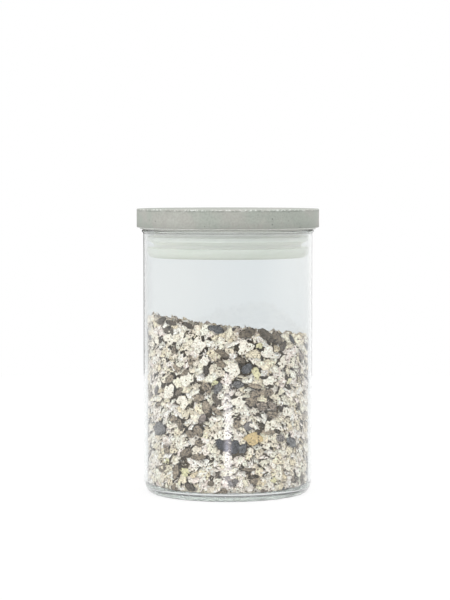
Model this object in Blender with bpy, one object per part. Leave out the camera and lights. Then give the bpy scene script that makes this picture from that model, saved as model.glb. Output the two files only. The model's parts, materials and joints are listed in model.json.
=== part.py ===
"""Glass storage jar with a push-in stopper lid under a cast concrete disc. Metres, +Z up."""

import math
import random

import bmesh
import bpy

# Driving sizes, in metres. The origin is the middle of the base, on the surface that the jar stands on.
# Glass body
jar_height = 0.1557
jar_radius = 0.050
jar_wall = 0.0016
base_thickness = 0.0032
outer_heel_width = 0.0044
outer_heel_height = 0.0100
inner_heel_round = 0.0050
standing_ring_width = 0.0035
punt_depth = 0.0010
rim_flare = 0.0010
rim_bead_height = 0.0016
rim_blend = 0.0005

# Stopper: flange, neck, two sealing fins and a closed cup
flange_overhang = 0.0010
flange_thickness = 0.0008
flange_edge_round = 0.0003
neck_gap = 0.0047
neck_fillet = 0.0006
fin_clearance = 0.0003
fin_edge_round = 0.0004
upper_fin_drop = 0.0042
upper_fin_edge = 0.0024
upper_fin_slant = 0.0022
upper_fin_hollow = 0.0002
fin_spacing = 0.0020
lower_fin_edge = 0.0007
cup_corner_height = 0.0052
cup_corner_width = 0.0042
cup_wall = 0.0018
cup_floor = 0.0018
cup_inner_fillet = 0.0020
cup_draft = 0.0003

# Concrete disc, with the groove in its underside that takes the adhesive
disc_thickness = 0.0110
disc_overhang = 0.0020
disc_edge_round = 0.0006
groove_inset = 0.0020
groove_width = 0.0050
groove_depth = 0.0012
adhesive_corner = 0.0002

# Dry fill: its level below the stopper in the middle, how its top slopes from -X to +X and up to -Y,
# and how far its clumps of flakes stand out
headspace = 0.0432
fill_rise = 0.0086
fill_fall = 0.0036
fill_forward = 0.0022
fill_relief = 0.0017

# Clearance between pieces that seat on or pass each other
seat_gap = 0.0003
weld_distance = 0.00001

# Counts
segments = 60
rim_steps = 8
heel_steps = 7
inner_heel_steps = 6
punt_steps = 5
edge_steps = 2
corner_steps = 5
slant_steps = 3
fill_rows = 17
fill_rings = 9
fill_seed = 5

# Places and sizes that follow from the driving ones
inner_radius = jar_radius - jar_wall
rim_radius = jar_radius + rim_flare
rim_round = (rim_radius - inner_radius) / 2
flange_radius = rim_radius + flange_overhang
flange_underside = jar_height + seat_gap
flange_top = flange_underside + flange_thickness
neck_radius = inner_radius - neck_gap
fin_radius = inner_radius - fin_clearance
upper_fin_top = flange_underside - upper_fin_drop
upper_fin_root = upper_fin_top - upper_fin_edge - upper_fin_slant
lower_fin_top = upper_fin_root - fin_spacing
stopper_bottom = lower_fin_top - lower_fin_edge - cup_corner_height
cup_radius = neck_radius - cup_wall
disc_radius = flange_radius + disc_overhang
disc_underside = flange_top + seat_gap
disc_top = disc_underside + disc_thickness
groove_outer = flange_radius - groove_inset
groove_inner = groove_outer - groove_width
fill_radius = inner_radius - seat_gap
fill_level = stopper_bottom - headspace


def clear_scene():
    for item in list(bpy.data.objects):
        bpy.data.objects.remove(item, do_unlink=True)


def arc(center, radii, start, end, steps):
    """Points (r, z) on a round or elliptical corner, from one angle to another in degrees."""
    points = []
    for step in range(steps + 1):
        angle = math.radians(start + (end - start) * step / steps)
        across = center[0] + radii[0] * math.cos(angle)
        up = center[1] + radii[1] * math.sin(angle)
        points.append((across, up))
    return points


def round_corner(center, radius, start, end, steps):
    return arc(center, (radius, radius), start, end, steps)


def turn(name, outline, closed=False):
    """A solid turned about Z from an outline of (r, z) points."""
    shape = bmesh.new()
    corners = [shape.verts.new((r, 0, z)) for r, z in outline]
    edges = [shape.edges.new(pair) for pair in zip(corners, corners[1:])]
    if closed:
        edges.append(shape.edges.new((corners[-1], corners[0])))
    bmesh.ops.spin(
        shape,
        geom=corners + edges,
        axis=(0, 0, 1),
        cent=(0, 0, 0),
        angle=math.tau,
        steps=segments,
        use_merge=True,
    )
    bmesh.ops.remove_doubles(shape, verts=shape.verts, dist=weld_distance)
    bmesh.ops.recalc_face_normals(shape, faces=shape.faces)
    mesh = bpy.data.meshes.new(name)
    shape.to_mesh(mesh)
    shape.free()
    return mesh


def add_piece(name, mesh, material, smooth_angle):
    """Puts the mesh in the scene as one named piece, smooth but for its sharp edges."""
    mesh.shade_smooth()
    mesh.set_sharp_from_angle(angle=math.radians(smooth_angle))
    mesh.materials.append(material)
    piece = bpy.data.objects.new(name, mesh)
    bpy.context.scene.collection.objects.link(piece)
    return piece


def new_material(name, color, roughness):
    material = bpy.data.materials.new(name)
    material.use_nodes = True
    material.diffuse_color = (*color, 1)
    shader = material.node_tree.nodes["Principled BSDF"]
    shader.inputs["Base Color"].default_value = (*color, 1)
    shader.inputs["Roughness"].default_value = roughness
    shader.inputs["Metallic"].default_value = 0
    return material


def clear_glass():
    material = new_material("clear_glass", (0.86, 0.92, 0.92), 0.03)
    shader = material.node_tree.nodes["Principled BSDF"]
    shader.inputs["Transmission Weight"].default_value = 1
    shader.inputs["IOR"].default_value = 1.47
    return material


def cast_concrete():
    return new_material("cast_concrete", (0.43, 0.45, 0.42), 0.9)


def milky_plastic():
    material = new_material("milky_plastic", (0.66, 0.69, 0.65), 0.4)
    shader = material.node_tree.nodes["Principled BSDF"]
    shader.inputs["Subsurface Weight"].default_value = 0.3
    return material


def silicone_adhesive():
    return new_material("silicone_adhesive", (0.70, 0.70, 0.68), 0.6)


def rolled_cereal():
    return new_material("rolled_cereal", (0.62, 0.56, 0.45), 0.9)


def jar_rim():
    """The rolled rim, from the outer wall over the top to the inner wall."""
    half_height = rim_bead_height / 2
    center = (inner_radius + rim_round, jar_height - half_height)
    bead = arc(center, (rim_round, half_height), -60, 180, rim_steps)
    wall_top = (jar_radius, bead[0][1] - rim_blend)
    return [wall_top] + bead


def jar_base():
    """The inside floor with its round corner, then the punt, the standing ring and the heel."""
    floor_corner = (inner_radius - inner_heel_round, base_thickness + inner_heel_round)
    inside = round_corner(floor_corner, inner_heel_round, 0, -90, inner_heel_steps)
    ring_outer = jar_radius - outer_heel_width
    ring_inner = ring_outer - standing_ring_width
    punt = []
    for step in range(punt_steps + 1):
        share = step / punt_steps
        punt.append((ring_inner * share, punt_depth * (1 - share**2)))
    heel_center = (ring_outer, outer_heel_height)
    heel = arc(heel_center, (outer_heel_width, outer_heel_height), -90, 0, heel_steps)
    return inside + [(0, base_thickness)], punt + heel


def make_glass_jar():
    inside, outside = jar_base()
    outline = outside + jar_rim() + inside
    return add_piece("glass_jar", turn("glass_jar", outline), clear_glass(), 40)


def flange_outline():
    """From the flange's inner edge over its top and rim to the neck below it."""
    inner_edge = cup_radius + cup_draft
    top_center = (flange_radius - flange_edge_round, flange_top - flange_edge_round)
    low_center = (top_center[0], flange_underside + flange_edge_round)
    neck_center = (neck_radius + neck_fillet, flange_underside - neck_fillet)
    return (
        [(inner_edge, flange_top)]
        + round_corner(top_center, flange_edge_round, 90, 0, edge_steps)
        + round_corner(low_center, flange_edge_round, 0, -90, edge_steps)
        + round_corner(neck_center, neck_fillet, 90, 180, edge_steps)
    )


def fin_edge(top):
    """A fin's flat top, from its root on the neck to the rounded edge that meets the glass."""
    center = (fin_radius - fin_edge_round, top - fin_edge_round)
    return [(neck_radius, top)] + round_corner(center, fin_edge_round, 90, 0, edge_steps)


def upper_fin():
    """The upper fin: a flat top, an edge that meets the glass and a slanted underside."""
    edge_bottom = upper_fin_top - upper_fin_edge
    underside = []
    for step in range(slant_steps + 1):
        share = step / slant_steps
        across = fin_radius + (neck_radius - fin_radius) * share
        sag = upper_fin_hollow * math.sin(math.pi * share)
        underside.append((across, edge_bottom - upper_fin_slant * share + sag))
    return fin_edge(upper_fin_top) + underside


def lower_fin():
    """The lower fin, which runs into the cup's rounded bottom corner."""
    center = (fin_radius - cup_corner_width, stopper_bottom + cup_corner_height)
    radii = (cup_corner_width, cup_corner_height)
    return fin_edge(lower_fin_top) + arc(center, radii, 0, -90, corner_steps)


def cup_inside():
    """The cup's inside, from the middle of its floor to the top of its drafted wall."""
    floor = stopper_bottom + cup_floor
    center = (cup_radius - cup_inner_fillet, floor + cup_inner_fillet)
    return [(0, floor)] + round_corner(center, cup_inner_fillet, -90, 0, corner_steps - 1)


def make_stopper():
    outline = cup_inside() + flange_outline() + upper_fin() + lower_fin() + [(0, stopper_bottom)]
    return add_piece("stopper", turn("stopper", outline), milky_plastic(), 35)


def make_concrete_disc():
    edge_radius = disc_radius - disc_edge_round
    top_center = (edge_radius, disc_top - disc_edge_round)
    low_center = (edge_radius, disc_underside + disc_edge_round)
    groove_roof = disc_underside + groove_depth
    outline = (
        [(0, disc_top)]
        + round_corner(top_center, disc_edge_round, 90, 0, edge_steps)
        + round_corner(low_center, disc_edge_round, 0, -90, edge_steps)
        + [(groove_outer, disc_underside), (groove_outer, groove_roof)]
        + [(groove_inner, groove_roof), (groove_inner, disc_underside), (0, disc_underside)]
    )
    return add_piece("concrete_disc", turn("concrete_disc", outline), cast_concrete(), 35)


def make_adhesive_ring():
    """The bead that bonds the flange to the disc, lying in the disc's groove."""
    inner = groove_inner + seat_gap
    outer = groove_outer - seat_gap
    low = disc_underside
    high = disc_underside + groove_depth - seat_gap
    near, far = inner + adhesive_corner, outer - adhesive_corner
    under, over = low + adhesive_corner, high - adhesive_corner
    outline = [(near, low), (far, low), (outer, under), (outer, over)]
    outline += [(far, high), (near, high), (inner, over), (inner, under)]
    mesh = turn("adhesive_ring", outline, closed=True)
    return add_piece("adhesive_ring", mesh, silicone_adhesive(), 30)


def fill_height(x, y):
    """How far the fill's top stands above its middle: high at -X, levelling off towards +X, and up to -Y."""
    across = x / fill_radius
    bend = (fill_rise - fill_fall) / 2
    slope = (fill_rise + fill_fall) / 2
    return bend * across**2 - slope * across - fill_forward * y / fill_radius


def clump_depths():
    """How deep each spot of the fill's skin lies: clumps of flakes and the hollows between them take turns."""
    chance = random.Random(fill_seed)
    rows = []
    for row in range(fill_rows + fill_rings):
        depths = []
        for step in range(segments):
            hollow = (row + step) % 2
            depths.append(fill_relief * (chance.uniform(0.6, 1) if hollow else chance.uniform(0, 0.3)))
        rows.append(depths)
    return rows


def make_cereal_fill():
    """The dry fill as one body: it follows the glass inside, clumped all over, with a sloping heaped top."""
    heel = inner_heel_round - seat_gap
    floor = base_thickness + seat_gap
    center = (fill_radius - heel, floor + heel)
    foot = [(0, floor)] + round_corner(center, heel, -90, 0, inner_heel_steps - 2)
    low = floor + heel
    skin = []
    for row in range(1, fill_rows):
        skin.append((fill_radius, low + (fill_level - low) * row / fill_rows))
    for ring in range(fill_rings, -1, -1):
        skin.append((fill_radius * ring / fill_rings, fill_level))
    mesh = turn("cereal_fill", foot + skin)
    depths = clump_depths()
    for corner in mesh.vertices:
        x, y, z = corner.co
        share = (z - low) / (fill_level - low)
        if share < 0.5 / fill_rows:
            continue
        out = math.hypot(x, y)
        step = round(math.atan2(y, x) / math.tau * segments) % segments
        on_top = share > 1 - 0.5 / fill_rows
        ring = round(out / fill_radius * fill_rings)
        row = fill_rows + fill_rings - ring if on_top else round(share * fill_rows)
        depth = depths[min(row, fill_rows + fill_rings - 1)][step]
        if not on_top:
            corner.co.x = x * (1 - depth / out)
            corner.co.y = y * (1 - depth / out)
            depth = 0
        elif ring == fill_rings:
            depth = 0
        elif ring < 3:
            depth = fill_relief * ring / 6
        corner.co.z = z + fill_height(x, y) * share - depth
    return add_piece("cereal_fill", mesh, rolled_cereal(), 40)


clear_scene()
make_glass_jar()
make_cereal_fill()
make_stopper()
make_adhesive_ring()
make_concrete_disc()
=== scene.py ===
import json
import math
import random

import bmesh
import bpy
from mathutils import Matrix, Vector, noise

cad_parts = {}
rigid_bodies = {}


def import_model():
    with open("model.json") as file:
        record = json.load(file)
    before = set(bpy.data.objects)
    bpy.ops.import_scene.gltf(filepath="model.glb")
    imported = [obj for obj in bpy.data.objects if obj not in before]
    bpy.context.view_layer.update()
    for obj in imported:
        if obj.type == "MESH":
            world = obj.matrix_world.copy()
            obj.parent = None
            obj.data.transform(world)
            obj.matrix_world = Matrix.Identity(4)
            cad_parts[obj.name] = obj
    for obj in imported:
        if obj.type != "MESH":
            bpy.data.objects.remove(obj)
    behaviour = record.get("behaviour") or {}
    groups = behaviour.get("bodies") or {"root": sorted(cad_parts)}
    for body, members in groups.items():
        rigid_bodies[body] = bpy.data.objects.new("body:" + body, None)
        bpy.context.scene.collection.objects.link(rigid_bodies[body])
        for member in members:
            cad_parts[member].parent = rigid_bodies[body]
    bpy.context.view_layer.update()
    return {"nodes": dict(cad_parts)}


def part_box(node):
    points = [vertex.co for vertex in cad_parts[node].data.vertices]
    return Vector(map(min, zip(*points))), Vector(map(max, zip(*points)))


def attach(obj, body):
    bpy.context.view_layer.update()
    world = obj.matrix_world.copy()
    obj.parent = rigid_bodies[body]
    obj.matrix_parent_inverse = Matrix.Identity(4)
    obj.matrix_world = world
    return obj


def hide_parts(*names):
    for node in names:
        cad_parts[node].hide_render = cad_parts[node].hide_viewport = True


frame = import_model()

mm = 0.001
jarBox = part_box("glass_jar")
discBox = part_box("concrete_disc")
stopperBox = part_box("stopper")
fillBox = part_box("cereal_fill")


def hexToLinear(text):
    values = [int(text[at:at + 2], 16) / 255 for at in (1, 3, 5)]
    linear = [v / 12.92 if v <= 0.04045 else ((v + 0.055) / 1.055) ** 2.4 for v in values]
    return (*linear, 1.0)


def addNode(tree, kind, inputs=None, stops=None, **settings):
    # one node with its settings and links; an input is a plain value, a hex colour, the socket that feeds
    # it or the node whose first output does, and stops are a ramp's places and hex colours
    node = tree.nodes.new(kind)
    for key, value in settings.items():
        setattr(node, key, value)
    for key, value in (inputs or {}).items():
        if isinstance(value, bpy.types.Node):
            value = value.outputs[0]
        if isinstance(value, str) and value[0] == "#":
            value = hexToLinear(value)
        if isinstance(value, bpy.types.NodeSocket):
            tree.links.new(value, node.inputs[key])
        else:
            node.inputs[key].default_value = value
    if stops:
        elements = node.color_ramp.elements
        elements.remove(elements[1])
        for index, (place, colour) in enumerate(stops):
            element = elements.new(place) if index else elements[0]
            element.position = place
            element.color = hexToLinear(colour)
    return node


def newMaterial(name):
    material = bpy.data.materials.new(name)
    material.use_nodes = True
    tree = material.node_tree
    tree.nodes.clear()
    return material, tree, addNode(tree, "ShaderNodeTexCoord").outputs["Object"]


def endMaterial(material, surface, **more):
    addNode(material.node_tree, "ShaderNodeOutputMaterial", {"Surface": surface, **more})
    return material


def arcPoints(middle, radii, start, end, steps=8):
    points = []
    for step in range(steps + 1):
        angle = math.radians(start + (end - start) * step / steps)
        points.append((middle[0] + radii[0] * math.cos(angle), middle[1] + radii[1] * math.sin(angle)))
    return points


def roundPoints(middle, radius, start, end, steps=8):
    return arcPoints(middle, (radius, radius), start, end, steps)


def meshFrom(name, shape):
    mesh = bpy.data.meshes.new(name)
    shape.to_mesh(mesh)
    shape.free()
    return mesh


def addObject(name, data):
    thing = bpy.data.objects.new(name, data)
    bpy.context.scene.collection.objects.link(thing)
    return thing


def fromAxis(tree, place):
    # a place brought level with the floor, and its distance from the jar's axis
    flat = addNode(tree, "ShaderNodeVectorMath", {0: place, 1: (1, 1, 0)}, operation="MULTIPLY")
    return flat, addNode(tree, "ShaderNodeVectorMath", {0: flat}, operation="LENGTH").outputs["Value"]


def turnShape(name, outline, segments):
    # a closed body turned about Z from an outline that starts and ends on the axis
    shape = bmesh.new()
    rings = []
    for r, z in outline:
        if r == 0:
            rings.append([shape.verts.new((0, 0, z))])
            continue
        turns = [math.tau * step / segments for step in range(segments)]
        rings.append([shape.verts.new((r * math.cos(a), r * math.sin(a), z)) for a in turns])
    for low, high in zip(rings, rings[1:]):
        for step in range(segments):
            after = (step + 1) % segments
            corners = [low[step % len(low)], low[after % len(low)]]
            corners += [high[after % len(high)], high[step % len(high)]]
            shape.faces.new(list(dict.fromkeys(corners)))
    bmesh.ops.recalc_face_normals(shape, faces=shape.faces)
    mesh = meshFrom(name, shape)
    mesh.shade_smooth()
    mesh.set_sharp_from_angle(angle=math.radians(50))
    return mesh


def addPiece(name, mesh, material, body, slotName, *nodes):
    piece = addObject(name, mesh)
    mesh.materials.clear()
    mesh.materials.append(material)
    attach(piece, body)
    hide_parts(*nodes)
    return piece


# Camera, backdrop and lamps

camera = {
    "lens": 129.6,          # mm on a 36 mm sensor, a long portrait lens
    "distance": 1280 * mm,  # from the jar's axis
    "height": 185 * mm,
    "tilt": 3.18,           # degrees down
    "sideStep": -1.7 * mm,
}

studio = {
    "floorSize": 1.5,           # small enough for the jar's edges to mirror the panels past it
    "floorWhite": "#F4F4F2",
    "floorBounce": "#E2E2E0",   # what matt surfaces get back from the floor
    "shownShare": 0.93,         # how much of the floor's look is plain white, the rest takes the shadow
    "ringOuter": 45 * mm,       # where the jar's foot stands the floor shows its real shade
    "ringInner": 42 * mm,
    "ringBlend": 1 * mm,
    "ringShare": 0.05,          # the plain white share in that ring, and right under the jar
    "amidShare": 0.9,
    "skyTop": 1.0,
    "skySide": 0.85,
    "skyLeft": 0.8,             # share of it that is left at the far left
    "topLampSize": 1.1,
    "topLampHeight": 1.3,
    "topLampWatts": 13.6,
    "sideLampSize": 0.8,
    "sideLampPlace": (-1.1, -1.0, 0.42),
    "sideLampWatts": 7.0,
    "streakSizes": ((0.19, 0.11), (0.13, 0.09), (0.07, 0.07)),  # stacked, so its sides fade
    "streakPlace": (0.0, -1.0, -0.065),
    "streakLevel": 4.6,         # watts for each square metre
    "streakColour": "#F3F0FF",
    "mirrorBounces": 32,        # thick glass pipes light round its heel, so its rays run long
    "allBounces": 40,
}

# what the glass mirrors, by bearing in degrees: 0 behind the jar, 90 right, 180 and -180 at the camera
panels = [
    (-180, "#8C8C8C"), (-150, "#B4B4B4"), (-110, "#ECECEC"), (-66, "#F8F8F8"), (-50, "#E0E3E2"),
    (-34, "#D4D8D8"), (-20, "#DCDEE0"), (-14.5, "#101C1C"), (-0.3, "#101C1C"), (0.6, "#B8B8B8"),
    (12, "#B8B8B8"), (17, "#FFFFFF"), (100, "#FFFFFF"), (140, "#A0A0A0"), (180, "#8C8C8C"),
]


def makeCamera():
    data = bpy.data.cameras.new("portraitLens")
    data.lens = camera["lens"]
    data.sensor_width = 36
    data.clip_start = 0.05
    data.clip_end = 50
    lens = addObject("portraitLens", data)
    lens.location = (camera["sideStep"], -camera["distance"], camera["height"])
    lens.rotation_euler = (math.radians(90 - camera["tilt"]), 0, 0)
    bpy.context.scene.camera = lens


def makeSky():
    # seen straight or through glass it is plain white; what glass mirrors is a ring of pale panels with
    # darker gaps, which draws the jar's edges; matt surfaces are lit by a soft sky, dimmer at the left
    world = bpy.data.worlds.new("whiteStudio")
    bpy.context.scene.world = world
    world.use_nodes = True
    tree = world.node_tree
    tree.nodes.clear()
    path = addNode(tree, "ShaderNodeLightPath").outputs
    place = addNode(tree, "ShaderNodeTexCoord")
    split = addNode(tree, "ShaderNodeSeparateXYZ", {0: place.outputs["Generated"]}).outputs
    sky = addNode(tree, "ShaderNodeMapRange", {"Value": split["Z"], "From Min": -0.2,
            "To Min": studio["skySide"], "To Max": studio["skyTop"]})
    side = addNode(tree, "ShaderNodeMapRange", {"Value": split["X"], "From Min": -1.0, "From Max": 0.2,
            "To Min": studio["skyLeft"]})
    soft = addNode(tree, "ShaderNodeMath", {0: sky, 1: side}, operation="MULTIPLY")
    bearing = addNode(tree, "ShaderNodeMath", {0: split["X"], 1: split["Y"]}, operation="ARCTAN2")
    turn = addNode(tree, "ShaderNodeMapRange", {"Value": bearing, "From Min": -math.pi,
            "From Max": math.pi})
    ring = addNode(tree, "ShaderNodeValToRGB", {"Fac": turn},
            stops=[((angle + 180) / 360, level) for angle, level in panels])
    straight = addNode(tree, "ShaderNodeMath", {0: path["Is Camera Ray"], 1: path["Is Transmission Ray"]},
            operation="MAXIMUM")
    mirrored = addNode(tree, "ShaderNodeMix", {0: path["Is Glossy Ray"], 2: soft, 3: ring})
    level = addNode(tree, "ShaderNodeMix", {0: straight, 2: mirrored, 3: 1.0})
    shine = addNode(tree, "ShaderNodeBackground", {"Color": "#FFFFFF", "Strength": level})
    addNode(tree, "ShaderNodeOutputWorld", {"Surface": shine})


def makeFloor():
    # white paper sweep: shows as white, and keeps a light shadow
    material, tree, place = newMaterial("whitePaperSweep")
    path = addNode(tree, "ShaderNodeLightPath").outputs
    seen = addNode(tree, "ShaderNodeMath", {0: path["Is Camera Ray"], 1: path["Is Transmission Ray"]},
            operation="MAXIMUM")
    shown = addNode(tree, "ShaderNodeMath", {0: seen, 1: path["Is Glossy Ray"]}, operation="MAXIMUM")
    # under the jar's foot the paper keeps its shade, which the glass base shows as thin dark lines
    out = addNode(tree, "ShaderNodeVectorMath", {0: place}, operation="LENGTH").outputs["Value"]
    amid = addNode(tree, "ShaderNodeMapRange", {"Value": out, "From Min": studio["ringInner"],
            "From Max": studio["ringInner"] + studio["ringBlend"], "To Min": studio["amidShare"],
            "To Max": studio["ringShare"]})
    beyond = addNode(tree, "ShaderNodeMapRange",
            {"Value": out, "From Min": studio["ringOuter"] - studio["ringBlend"],
            "From Max": studio["ringOuter"], "To Min": studio["ringShare"],
            "To Max": studio["shownShare"]})
    shade = addNode(tree, "ShaderNodeMath", {0: amid, 1: beyond}, operation="MAXIMUM")
    share = addNode(tree, "ShaderNodeMath", {0: shown, 1: shade}, operation="MULTIPLY")
    tone = addNode(tree, "ShaderNodeMix", {0: path["Is Diffuse Ray"], 6: studio["floorWhite"],
            7: studio["floorBounce"]}, data_type="RGBA")
    paper = addNode(tree, "ShaderNodeBsdfDiffuse", {"Color": tone.outputs[2]})
    plain = addNode(tree, "ShaderNodeEmission")
    look = addNode(tree, "ShaderNodeMixShader", {0: share, 1: paper, 2: plain})
    endMaterial(material, look)
    half = studio["floorSize"] / 2
    corners = [(-half, -half, 0), (half, -half, 0), (half, half, 0), (-half, half, 0)]
    mesh = bpy.data.meshes.new("paperSweep")
    mesh.from_pydata(corners, [], [(0, 1, 2, 3)])
    mesh.materials.append(material)
    floor = addObject("paperSweep", mesh)


def addLamp(name, place, aim, size, watts):
    data = bpy.data.lights.new(name, "AREA")
    data.shape = "RECTANGLE"
    data.size, data.size_y = size
    data.energy = watts
    lamp = addObject(name, data)
    lamp.location = place
    lamp.rotation_euler = (Vector(aim) - Vector(place)).to_track_quat("-Z", "Y").to_euler()
    lamp.visible_camera = False
    lamp.visible_transmission = False
    return lamp


def makeLamps():
    aim = (0, 0, 100 * mm)
    top = studio["topLampSize"]
    addLamp("topSoftbox", (0.1, -0.1, studio["topLampHeight"]), aim, (top, top), studio["topLampWatts"])
    size = studio["sideLampSize"]
    side = addLamp("sideSoftbox", studio["sideLampPlace"], aim, (size, size), studio["sideLampWatts"])
    side.visible_glossy = False


def makeStreak(glassPiece):
    # low lamps in front that only the glass sees, for the bright line down its middle; they stand below
    # the floor's level, where the mirror image falls, so the floor doesn't stop them
    seenBy = bpy.data.collections.new("streakSeenBy")
    seenBy.objects.link(glassPiece)
    passes = bpy.data.collections.new("streakPasses")
    passes.objects.link(bpy.data.objects["paperSweep"])
    passes.collection_objects[0].light_linking.link_state = "EXCLUDE"
    for number, (wide, tall) in enumerate(studio["streakSizes"]):
        watts = studio["streakLevel"] * wide * tall
        place, aim = studio["streakPlace"], (0, 0, 40 * mm)
        lamp = addLamp(f"streakSoftbox{number}", place, aim, (wide, tall), watts)
        lamp.data.color = hexToLinear(studio["streakColour"])[:3]
        lamp.light_linking.receiver_collection = seenBy
        lamp.light_linking.blocker_collection = passes


# Glass body

glass = {
    "rimRadius": jarBox[1].x,   # at the rim's bead
    "height": jarBox[1].z,
    "flare": 1.0 * mm,
    "wall": 1.6 * mm,
    "base": 3.2 * mm,
    "heel": 4.4 * mm,
    "heelHeight": 10.0 * mm,
    "rimBead": 0.8 * mm,        # half its height
    "innerHeel": 5.0 * mm,
    "standingRing": 3.5 * mm,
    "punt": 1.0 * mm,
    "rimBlend": 0.5 * mm,
    "segments": 240,
    "deepTint": "#C8DDCC",      # what long ways through it absorb towards
    "deepDensity": 5.0,         # for each metre
    "lampTints": ("#1C2220", "#FCFDFD"),    # lamplight through the foot and through the wall
}


def glassOutline():
    g = glass
    outer = g["rimRadius"] - g["flare"]
    inner = outer - g["wall"]
    bead = (g["rimRadius"] - inner) / 2
    ringOuter = outer - g["heel"]
    ringInner = ringOuter - g["standingRing"]
    punt = [(ringInner * step / 14, g["punt"] * (1 - (step / 14) ** 2)) for step in range(14)]
    heel = arcPoints((ringOuter, g["heelHeight"]), (g["heel"], g["heelHeight"]), -90, 0, 24)
    rim = arcPoints((inner + bead, g["height"] - g["rimBead"]), (bead, g["rimBead"]), -60, 180, 24)
    wall = [(outer, g["height"] * step / 12) for step in range(1, 12)]
    neck = [(outer, rim[0][1] - 2 * g["rimBlend"]), (outer + 0.05 * mm, rim[0][1] - g["rimBlend"])]
    inside = [(inner, g["height"] * step / 12) for step in range(11, 0, -1)]
    corner = roundPoints((inner - g["innerHeel"], g["base"] + g["innerHeel"]), g["innerHeel"], 0, -90, 16)
    bottom = [(corner[-1][0] * step / 4, g["base"]) for step in (3, 2, 1, 0)]
    return punt + [(ringInner, 0)] + heel + wall + neck + rim + inside + corner + bottom


def blownGlass():
    # borosilicate, blown and fire-polished: clear with a cool grey cast, faintly wavy
    material, tree, place = newMaterial("blownBorosilicateGlass")
    waves = addNode(tree, "ShaderNodeTexNoise", {"Vector": place, "Scale": 1 / (28 * mm), "Detail": 1.0})
    bump = addNode(tree, "ShaderNodeBump", {"Height": waves, "Strength": 0.12, "Distance": 0.15 * mm})
    haze = addNode(tree, "ShaderNodeTexNoise", {"Vector": place, "Scale": 1 / (12 * mm), "Detail": 3.0})
    film = addNode(tree, "ShaderNodeMapRange", {"Value": haze, "From Min": 0.4, "From Max": 0.8,
            "To Min": 0.003, "To Max": 0.012})
    batch = addNode(tree, "ShaderNodeTexNoise", {"Vector": place, "Scale": 1 / (60 * mm), "Detail": 0.0})
    tint = addNode(tree, "ShaderNodeValToRGB", {"Fac": batch}, stops=[(0.3, "#F0F3F4"), (0.7, "#F3F5F5")])
    clear = addNode(tree, "ShaderNodeBsdfPrincipled", {"Base Color": tint, "Roughness": film, "IOR": 1.47,
            "Transmission Weight": 1.0, "Coat Weight": 1.0, "Coat Roughness": 0.2, "Coat IOR": 1.2,
            "Normal": bump})
    path = addNode(tree, "ShaderNodeLightPath").outputs
    lampRays = addNode(tree, "ShaderNodeMath", {0: path["Is Shadow Ray"], 1: path["Is Diffuse Ray"]},
            operation="MAXIMUM")
    # lamplight gets through the wall, but hardly through the thick foot, whose curves turn it away
    height = addNode(tree, "ShaderNodeSeparateXYZ", {0: place}).outputs["Z"]
    rise = addNode(tree, "ShaderNodeMapRange", {"Value": height, "From Min": 0.6 * glass["base"],
            "From Max": glass["base"]})
    through = addNode(tree, "ShaderNodeValToRGB", {"Fac": rise},
            stops=list(enumerate(glass["lampTints"])))
    passing = addNode(tree, "ShaderNodeBsdfTransparent", {"Color": through})
    look = addNode(tree, "ShaderNodeMixShader", {0: lampRays, 1: clear, 2: passing})
    # long ways through the glass, as round the heel and along the rim, turn green-grey
    deep = addNode(tree, "ShaderNodeVolumeAbsorption", {"Color": glass["deepTint"],
            "Density": glass["deepDensity"]})
    return endMaterial(material, look, Volume=deep)


def makeGlass():
    mesh = turnShape("jar_glass", glassOutline(), glass["segments"])
    return addPiece("jar_glass", mesh, blownGlass(), "jar", "clear_glass", "glass_jar")


# Stopper

stopper = {
    "radius": stopperBox[1].x,
    "top": stopperBox[1].z,
    "lip": 0.25 * mm,           # the flange's outer edge closes the gap under the disc
    "lipInner": 50.4 * mm,
    "bottom": stopperBox[0].z,
    "flange": 0.75 * mm,
    "flangeRound": 0.35 * mm,
    "neck": 43.7 * mm,
    "fin": 48.1 * mm,
    "finRound": 0.45 * mm,
    "neckRound": 0.6 * mm,
    "grooveRound": 0.4 * mm,
    "slantHollow": 0.25 * mm,
    "drop": 4.2 * mm,           # from the flange down to the upper fin
    "upperEdge": 2.4 * mm,
    "slant": 2.2 * mm,
    "spacing": 2.0 * mm,
    "cornerWidth": 4.2 * mm,    # the lower fin runs into the bottom by a wide round
    "cornerHeight": 5.2 * mm,
    "wall": 1.8 * mm,
    "innerRound": 2.0 * mm,
    "draft": 0.3 * mm,
    "segments": 200,
    "glowNeck": 0.2,            # light that its thin walls pass on, less so where the fins are deep
    "glowFin": 0.06,
    # colour of the painted shade line under the flange's edge
    "seamShade": "#4E514B",
    # mm above its bottom, and the painted shade there: underside edge, lower fin, groove, slant, upper fin,
    # neck
    "paintedShades": ((0.0, "#A8ABA6"), (1.4, "#C8CAC5"), (5.9, "#CACCC7"), (6.4, "#DFE1DC"), (7.9, "#DBDDD8"),
               (8.3, "#D3D5D0"), (9.9, "#D1D3CE"), (10.3, "#D1D3CE"), (12.5, "#D3D5D0"), (12.9, "#DADDD7"),
               (13.8, "#DCDFD9"), (14.3, "#F8FAF6")),
}


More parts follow.
